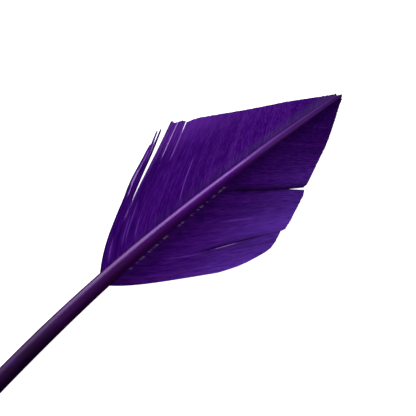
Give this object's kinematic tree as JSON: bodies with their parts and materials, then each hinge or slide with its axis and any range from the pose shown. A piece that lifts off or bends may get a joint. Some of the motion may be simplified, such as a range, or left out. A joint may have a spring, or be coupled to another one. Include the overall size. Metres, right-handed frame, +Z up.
{
  "type": "turkey quill feather",
  "caption": "Dyed wing quill feather lying flat: a long bare tapering shaft and a short vane trimmed to an arrow-like point, with a frayed lock and a few splits along its edges.",
  "frame": {"origin": "middle of the feather's bounding box in plan, on the surface it lies on", "axes": "+X along the feather from the bare end of the shaft to the trimmed tip, +Y towards the vane with the frayed lock, +Z up, away from the surface, on the side where the shaft stands proud"},
  "size_m": [0.2, 0.0484, 0.005],
  "materials": {
    "shaft": "dyed keratin, satin gloss",
    "vane": "dyed barbs, silky"
  },
  "bodies": {
    "root": {"shaft": "shaft", "left_vane": "vane", "right_vane": "vane"}
  },
  "joints": []
}
